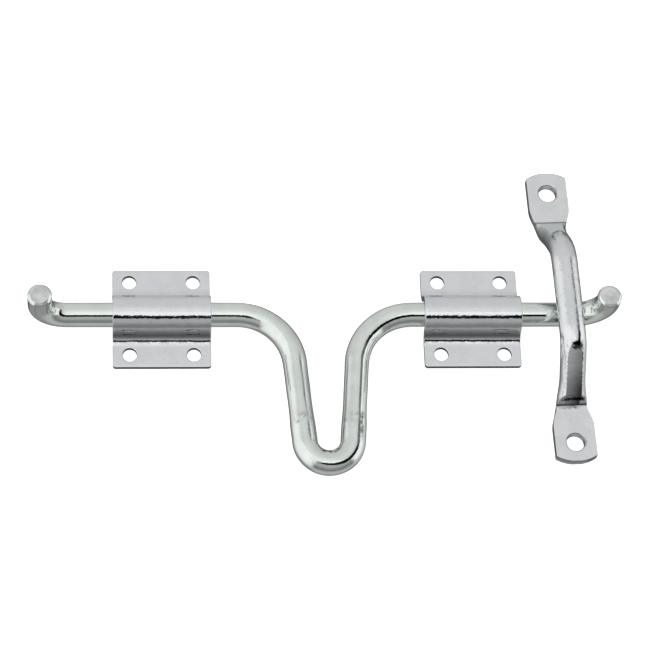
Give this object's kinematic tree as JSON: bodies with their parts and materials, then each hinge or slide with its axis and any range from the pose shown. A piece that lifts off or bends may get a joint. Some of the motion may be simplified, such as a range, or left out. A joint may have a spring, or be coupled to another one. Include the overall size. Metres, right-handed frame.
{
  "type": "gate slide bolt",
  "caption": "Gate slide bolt: a bent round bar with a U-shaped pull handle and upturned ends, running in pressed guide brackets, with a forged arched keeper.",
  "frame": {"origin": "centre of the right guide's four screw holes, on the mounting plane (the guide's back face)", "axes": "+X along the bar towards the keeper; +Y across the bar, away from the hanging pull handle; +Z out of the gate, away from the mounting plane"},
  "size_m": [0.3067, 0.1725, 0.0357],
  "materials": {
    "bolt_zinc": "bright zinc plate on drawn bar",
    "guide_zinc": "bright zinc plate on pressed sheet",
    "keeper_zinc": "bright zinc plate on forged bar"
  },
  "bodies": {
    "mounting": {"right_guide": "guide_zinc", "left_guide": "guide_zinc", "keeper": "keeper_zinc"},
    "bolt": {"bolt": "bolt_zinc"}
  },
  "joints": [
    {"name": "handle_turn", "type": "hinge", "parent": "mounting", "child": "bolt", "pos_m": [-0.0776, 0, 0.007], "axis": [-1, 0, 0], "range_deg": [0, 90]}
  ]
}
